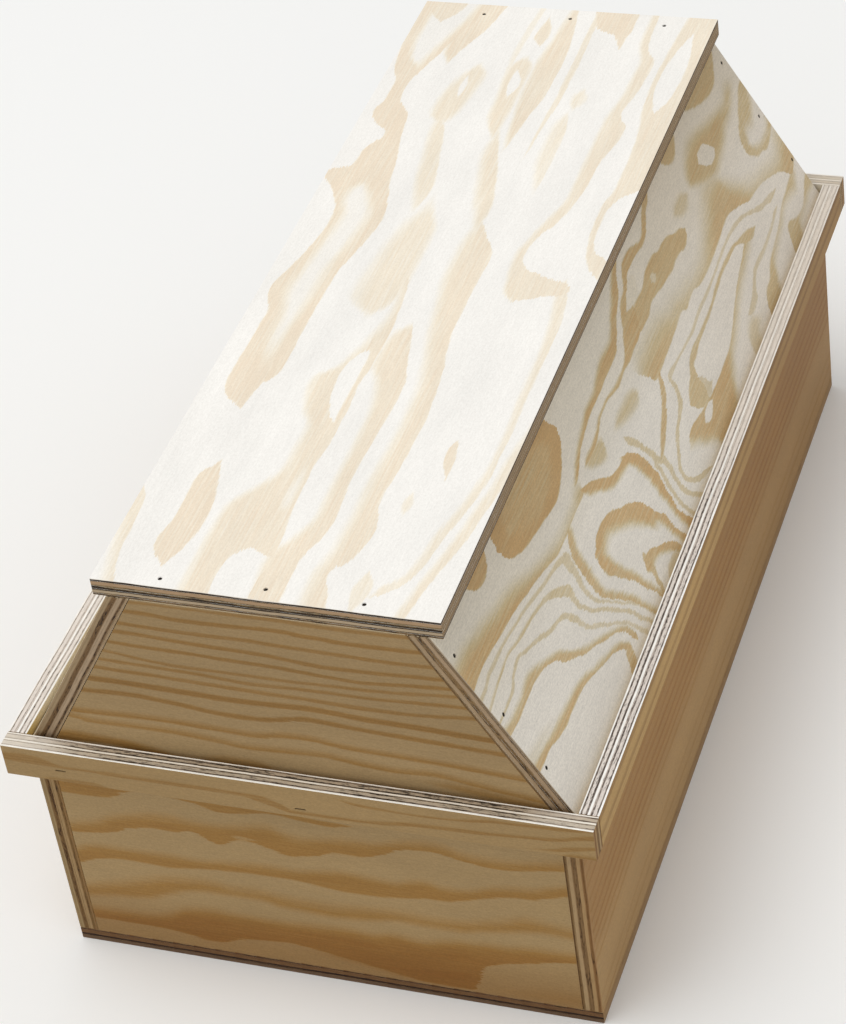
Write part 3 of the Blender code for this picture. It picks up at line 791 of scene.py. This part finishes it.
# The boards lean out by 68 mm for 117 mm down.
lean = Vector((0.068, 0, -0.117)).normalized()
slope_out = Vector((-lean.z, 0, lean.x))
length, slope_width = high.y - low.y, (high.z - low.z) / -lean.z
top_x = high.x - slope_width * lean.x
blank = saw_board("lid_sloping_board_blank", (0, -SPARE, 0), (length, slope_width + SPARE, PLYWOOD), GLUE,
                  [((0, 0, 0), (0, lean.z, -lean.x)), ((0, slope_width, 0), (0, -lean.z, lean.x))])
for word, corner, along, outward in (
        ("right", (top_x, low.y, high.z), Y, slope_out),
        ("left", (-top_x, high.y, high.z), -Y, Vector((-slope_out.x, 0, slope_out.z)))):
    place = lay_out(corner, along, outward)
    if word == "right":
        # Painted shade: darker under the top board's overhang, and towards the rear.
        veneer = banded_veneer("slope_right", place,
                               [(0, "E8E1D5"), (0.25, "DFD5C0"), (0.6, "D2C09A"), (1.0, "CCAA7A")],
                               SLOPE_BANDS, SLOPE_CROSS_BANDS, streak=0.28, drift=(5, 3), fray=(6, 1.1),
                               painted_shading=[("F0EDE6", (300, 25), (300, 85)), ("F8F5F2", (500, 60), (250, 60))])
    else:
        veneer = ringed_veneer("slope_left", place,
                               [(0, "E3DBCC"), (0.45, "DCD2BC"), (0.8, "CCBA92"), (0.97, "C2A67A")],
                               start=0.5, rings_per_mm=0, humps=SLOPE_HUMPS)
    board = copy_board(blank, "lid_sloping_board_" + word + "_plywood")
    finish_board(board, veneer,
                 ply_edge("slope_long_" + word, place, LONG_PLIES, LONG_TORN),
                 ply_edge("slope_end_" + word, place, SLOPE_END_PLIES[word], torn_hex="2E2018", seed=3))
    pins = sink_heads(board, "lid_sloping_board_" + word + "_pins", SLOPE_PINS)
    for piece in (board, pins):
        put_in_place(piece, place)
        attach(piece, "root")
    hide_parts("lid_sloping_board_" + word)
bpy.data.objects.remove(blank)

# Lid end boards
# Two boards between the sloping boards, cut to the same slope at both sides.
# Their veneer is quarter cut: fine, nearly straight orange-brown lines across the coffin.
LID_END_LINES = [
    ([(50, 8.3), (75, 7.8), (100, 9.3), (130, 8.8), (155, 7.8), (175, 9.3), (200, 10.8),
      (245, 10.3)], 3.4, 1.5, 1.5, 0.75),
    ([(45, 17.5), (100, 18.5), (130, 18.5), (160, 19.5), (200, 20.5), (215, 21),
      (250, 20)], 3, 1.5, 1.5, 0.7),
    ([(40, 24.4), (60, 24.4), (100, 26.4), (150, 27.9), (185, 30.9), (200, 30.4),
      (250, 28.4)], 3.2, 2, 1.5, 0.75),
    ([(40, 32.5), (50, 33), (75, 34.5), (100, 34.5), (125, 35.5), (150, 36), (180, 38), (200, 39),
      (225, 37), (260, 34.5)], 3, 1.5, 1.5, 0.75),
    ([(35, 39.6), (45, 40.6), (75, 44.6), (110, 45.6), (150, 45.6), (185, 45.1), (215, 44.1), (250, 41.1),
      (270, 39.6)], 2.8, 2, 1.5, 0.65),
    ([(30, 46.6), (40, 47.6), (75, 49.1), (100, 49.6), (135, 51.6), (175, 50.6), (200, 50.6), (230, 49.1),
      (270, 47.6)], 2.8, 2, 1.5, 0.7),
    ([(25, 53.4), (35, 54.4), (70, 55.4), (110, 56.4), (150, 57.4), (175, 57.9), (205, 58.9), (230, 58.4),
      (262, 55.4), (275, 54.4)], 3.2, 2, 1.5, 0.7),
    ([(20, 62.8), (30, 63.3), (60, 63.8), (90, 64.8), (120, 65.8), (150, 64.8), (165, 64.3), (200, 66.3),
      (240, 67.8), (280, 69.8)], 4.4, 2.5, 1.8, 0.95),
    ([(15, 74.1), (25, 74.1), (55, 73.1), (80, 74.6), (110, 78.1), (130, 78.6), (150, 76.1), (165, 73.1),
      (200, 75.6), (230, 77.1), (285, 79.6)], 3.8, 2.5, 1.8, 0.85),
    ([(5, 90.8), (18, 90.8), (50, 89.8), (75, 89.3), (100, 90.3), (130, 91.3), (145, 88.8), (165, 87.8),
      (185, 90.8), (205, 91.8), (240, 92.8), (290, 96.3)], 4.4, 3, 2, 0.8),
    ([(5, 95), (15, 96), (30, 98.5), (60, 98), (75, 98), (105, 100), (125, 102), (150, 101), (170, 100),
      (190, 102.5), (215, 104), (235, 103), (260, 106), (298, 112)], 4, 4, 2, 0.85),
]
LID_END_BANDS = [([(x, y, y + width) for x, y in line], above, below, strength)
                 for line, width, above, below, strength in LID_END_LINES]
LID_END_BANDS += [
    ([(60, 1, 4), (100, 1, 3), (150, 0, 3), (190, 1, 4), (240, 0, 3)], 1.5, 1.5, 0.6),
    ([(0, 112, 119), (12, 111, 119), (30, 112, 118), (48, 113, 119), (66, 116, 121),
      (80, 120)], 3, 2, 0.95),
    ([(92, 118), (105, 115, 121), (125, 114, 121), (140, 118)], 3, 2, 0.6),
    ([(230, 112), (250, 110, 116), (275, 112, 120), (300, 116, 122)], 4, 3, 0.6),
]
low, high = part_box("lid_end_board_front")
half_low, rise = high.x, high.z - low.z
half_high = half_low - rise * lean.x / -lean.z
blank = saw_board("lid_end_board_blank", (0, 0, 0), (2 * half_low, rise, PLYWOOD), GLUE,
                  [((half_low - half_high, 0, 0), (lean.z, -lean.x, 0)),
                   ((half_low + half_high, 0, 0), (-lean.z, -lean.x, 0))])
for word, corner, along, outward in (("front", (-half_low, low.y, high.z), X, -Y),
                                     ("rear", (half_low, -low.y, high.z), -X, Y)):
    place = lay_out(corner, along, outward)
    if word == "front":
        # Painted light at the foot: the ramp darkens the face down to 72 mm and fades out by 118 mm, so the
        # foot, in shade behind the front strip, stays pale.
        veneer = banded_veneer("lid_end_front", place,
                               [(0, "AC9168"), (0.35, "A58557"), (0.7, "9D7843"), (1.0, "956F3A")],
                               LID_END_BANDS, streak=0.25, drift=(5, 1.6), fray=(12, 1.2),
                               painted_shading=[("E9E7E3", (150, 72), (150, 118))])
    else:
        veneer = ringed_veneer("lid_end_rear", place,
                               [(0, "9C8158"), (0.5, "96774B"), (0.85, "8F6C3C"), (0.97, "8A6737")],
                               start=0.4, rings_per_mm=1 / 8, drift=(9, 4))
    board = copy_board(blank, "lid_end_board_" + word + "_plywood")
    finish_board(board, veneer,
                 ply_edge("lid_end_long_" + word, place, LONG_PLIES, LONG_TORN),
                 ply_edge("lid_end_side_" + word, place, END_PLIES["right"], SHADED_TORN))
    put_in_place(board, place)
    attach(board, "root")
    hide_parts("lid_end_board_" + word)
bpy.data.objects.remove(blank)

# Lid top board
# A flat board nailed down over the sloping boards and the lid ends, overhanging them at the sides.
# The palest veneer of all, with soft cream bands and flames that run lengthwise.
TOP_BANDS = [
    ([(0, 8, 15), (25, 3, 8.5), (50, -2, 7), (75, -8, 4), (90, -8)], 6, 1.2, 0.75),
    ([(16, 37), (36, 26, 44), (64, 28.5, 47.5), (90, 28, 43), (113, 37)], 1.3, 1.3, 1),
    ([(158, 31), (178, 14, 34), (200, 13, 43), (250, 14, 43), (274, 7, 43), (300, 12, 44), (330, 18, 50),
      (352, 20, 53), (376, 14, 50), (390, 5, 46), (402, -1, 44), (412, 14, 43), (432, 16, 39),
      (449, 23, 35), (462, 12, 33), (474, 7, 31), (490, 10, 21), (505, 10, 20), (530, 4, 25), (548, 1, 30),
      (575, -1, 38), (612, -5, 48)], 1.3, 1.3, 1),
    ([(200, 30), (225, 24, 33), (250, 23, 35), (275, 18, 36), (300, 20, 37), (330, 23, 42), (355, 25, 44),
      (378, 20, 38), (396, 28)], 6, 6, 0.1),
    ([(528, 20), (545, 10, 24), (575, 7, 32), (600, 7, 38), (612, 7, 40)], 4, 5, 0.05),
    ([(537, 38.5), (552, 32, 43), (575, 33, 51), (612, 45, 59)], 3, 1.3, 0.9),
    ([(586, 18), (598, 7, 26), (612, 3, 31)], 1.5, 2, 0.85),
    ([(0, 53, 99), (40, 53, 97), (72, 55, 94), (92, 66, 93), (112, 76, 93), (145, 77, 95), (165, 69, 95),
      (190, 64, 94), (208, 76, 96), (235, 85, 96), (270, 90, 94), (300, 86, 90), (305, 88)], 5, 1.2, 0.85),
    ([(70, 87), (85, 85, 91), (100, 86, 91), (118, 89)], 3, 3, 0.25),
    ([(0, 71, 95), (15, 70, 94), (30, 72, 97), (38, 77, 88), (41, 81)], 1.3, 1.3, 0),
    ([(154, 91), (168, 83, 90), (195, 79, 91), (218, 83, 91), (226, 89)], 1.3, 1.3, 0),
    ([(0, 96, 113), (30, 93, 112.5), (55, 103, 118), (75, 109, 121), (105, 109, 118), (150, 109, 120),
      (190, 105, 121), (215, 96, 116), (240, 98, 111), (254, 107)], 5, 1.2, 0.9),
    ([(0, 125, 140), (12, 124, 137), (26, 124, 132), (38, 127, 139), (52, 129, 145), (68, 129, 147),
      (92, 129, 141), (150, 131, 144), (190, 130, 142), (250, 119, 134), (300, 112, 133), (325, 111, 134),
      (345, 112, 126), (364, 117)], 6, 1.2, 0.9),
    ([(0, 153, 155), (18, 149, 160), (34, 154)], 2.5, 2.5, 0.55),
    ([(12, 160), (20, 164, 172), (36, 175, 181), (70, 181, 187), (100, 188, 194), (150, 193, 197),
      (200, 191, 196), (250, 190, 196), (285, 186, 194), (304, 184, 189), (312, 187)], 3, 1.2, 0.65),
    ([(0, 180, 186), (30, 185, 190.5), (60, 191, 198), (100, 197, 204), (150, 203, 210),
      (210, 210)], 3, 1.2, 0.75),
    ([(115, 172), (130, 166, 172), (142, 165, 170), (152, 168)], 1, 1, 0.9),
    ([(80, 157), (92, 154, 160), (103, 157)], 2.5, 2.5, 0.5),
    ([(284, 160), (292, 153, 178), (300, 151, 192), (308, 150, 187), (313, 149, 166), (330, 148, 154),
      (347, 151, 156), (370, 157, 165), (398, 163, 171), (432, 163, 173), (475, 163, 179), (492, 164, 172),
      (512, 167, 175), (548, 168, 177), (575, 162, 168), (612, 161, 166)], 3, 1.3, 0.8),
    ([(310, 209), (326, 195, 212), (358, 188, 212), (386, 187, 212), (410, 190, 212), (440, 190, 212),
      (470, 188, 212), (500, 184, 212), (540, 182, 212), (580, 184, 212), (612, 186, 212)], 2, 2, 0.8),
    ([(330, 208), (345, 194, 212), (372, 191, 212), (394, 193, 212), (408, 206)], 1.4, 1.4, 0),
    ([(494, 193), (510, 188, 198), (532, 185.5, 200), (562, 187, 199), (594, 194)], 1.3, 1.3, 0),
    ([(256, 78), (280, 61, 90), (305, 62, 91), (350, 68, 90), (372, 76, 82), (384, 79)], 8, 4, 0.7),
    ([(464, 57), (480, 46, 64), (500, 47, 67), (522, 52, 69), (540, 61)], 4, 4, 0.75),
    ([(496, 58.5), (510, 55, 60.5), (526, 57)], 1.5, 1.5, 0.05),
    ([(450, 97), (475, 86, 98), (500, 84, 98), (535, 82, 98), (552, 90)], 3, 3, 0.8),
    ([(499, 91), (518, 87, 95.5), (536, 88)], 1.3, 1.3, 0),
    ([(563, 95), (578, 88, 98), (602, 91)], 2, 2, 0.85),
    ([(440, 107), (480, 102, 112), (500, 100, 115), (540, 99, 116.5), (580, 102, 114),
      (612, 104, 109)], 3, 1.3, 0.9),
    ([(430, 122), (480, 123, 126), (530, 123.5, 128), (600, 122, 126), (612, 122, 125)], 1.5, 1, 0.65),
    ([(565, 150), (585, 140, 151), (590, 128, 152), (612, 121, 152)], 1.5, 1.5, 0.95),
    ([(492, 139), (505, 134, 144), (518, 139)], 3, 3, 0.55),
    ([(520, 82), (560, 79, 84), (612, 82, 86)], 2, 2, 0.35),
    ([(345, 116), (375, 108, 118), (410, 100, 112), (440, 95, 104), (466, 98)], 5, 2, 0.8),
    ([(365, 70), (395, 62, 74), (430, 56, 68), (462, 52, 60), (475, 54)], 4, 2, 0.7),
    ([(396, 141), (430, 132, 142), (468, 131, 141), (492, 137)], 4, 2, 0.55),
]
# The top board's long edge. The two lowest layers are painted shade, darker towards the edge's lower arris
# over the slope.
TOP_LONG_PLIES_AND_SHADE = [(1.2, "4E3E2C", 0.6), (3.1, "957F63", 0.22), (2.8, "917A5D", 0.28), (2.9, "967E60", 0.2),
                  (1.2, "746046", 0.3), (0.8, "4A3C2A", 0.5)]
TOP_END_PLIES = [(0.35, "F0E8DC", 0), (1.45, "5A4430", 0.8), (2.4, "AE9070", 0.2), (1.8, "86704E", 0.5),
                 (2.0, "5A4630", 0.75), (1.9, "B4A084", 0.12), (1.0, "745C3E", 0.55), (1.1, "80684A", 0.5)]
TOP_PINS = [(7, 40, 0), (9, 102, 0), (7, 160, 0), (600, 45, 0), (601, 106, 0), (600, 172, 0)]
low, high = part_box("lid_top_board")
size = (high.y - low.y, high.x - low.x, high.z - low.z)
place = lay_out((low.x, low.y, high.z), Y, Z)
top = saw_board("lid_top_board_plywood", (0, 0, 0), size, GLUE)
finish_board(top,
             banded_veneer("top", place,
                           [(0, "F8F5EF"), (0.3, "F7F0E2"), (0.65, "F3E8D4"), (1.0, "EFDFC8")], TOP_BANDS,
                           melt=1.8, streak=0.4, speck=0.06, drift=(5, 3), fray=(9, 1.7)),
             ply_edge("top_long", place, TOP_LONG_PLIES_AND_SHADE, torn_hex="5A4838"),
             ply_edge("top_end", place, TOP_END_PLIES, torn_hex="33271C", beads=(4.5, 0.8, 0.6), seed=1))
top_pins = sink_heads(top, "lid_top_board_pins", TOP_PINS)
for piece in (top, top_pins):
    put_in_place(piece, place)
    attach(piece, "root")
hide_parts("lid_top_board")

# Floor, light and camera
# A plain pale floor of matt paper, which shows no gloss, under one broad soft light from above,
# and even light from all round. The camera stands where the photograph was taken.
bpy.ops.object.select_all(action="DESELECT")
bpy.ops.mesh.primitive_plane_add(size=30)
floor = bpy.context.object
floor.name = "floor"
paper = bpy.data.materials.new("matt_studio_paper")
paper.use_nodes = True
paper_shader = paper.node_tree.nodes["Principled BSDF"]
paper_shader.inputs["Base Color"].default_value = colour("FAFAF8")
paper_shader.inputs["Roughness"].default_value = 0.9
floor.data.materials.append(paper)

world = bpy.data.worlds.new("studio")
world.use_nodes = True
bpy.context.scene.world = world
surround = world.node_tree.nodes["Background"]
surround.inputs["Color"].default_value = (1, 1, 1, 1)
surround.inputs["Strength"].default_value = 0.6

softbox_data = bpy.data.lights.new("softbox", "AREA")
softbox_data.shape = "SQUARE"
softbox_data.size = 5
softbox_data.energy = 191
softbox = bpy.data.objects.new("softbox", softbox_data)
bpy.context.scene.collection.objects.link(softbox)
softbox.location = (-1.6, -1.0, 6.2)
lid_middle = Vector((0, 0, 0.2))
softbox.rotation_euler = (lid_middle - softbox.location).to_track_quat("-Z", "Y").to_euler()

CAMERA_AT = Vector((0.61779, -1.48008, 1.43216))
CAMERA_AIM = Vector((-0.00980, -0.04952, 0.152))
CAMERA_ROLL = math.radians(-8.911)
forward = (CAMERA_AIM - CAMERA_AT).normalized()
level = forward.cross(Z).normalized()
upright = level.cross(forward)
right = math.cos(CAMERA_ROLL) * level + math.sin(CAMERA_ROLL) * upright
up = right.cross(forward)
camera_data = bpy.data.cameras.new("camera")
camera_data.lens = 112.43
camera = bpy.data.objects.new("camera", camera_data)
bpy.context.scene.collection.objects.link(camera)
stand = Matrix((right, up, -forward)).transposed().to_4x4()
stand.translation = CAMERA_AT
camera.matrix_world = stand
bpy.context.scene.camera = camera
bpy.context.scene.view_settings.view_transform = "Standard"
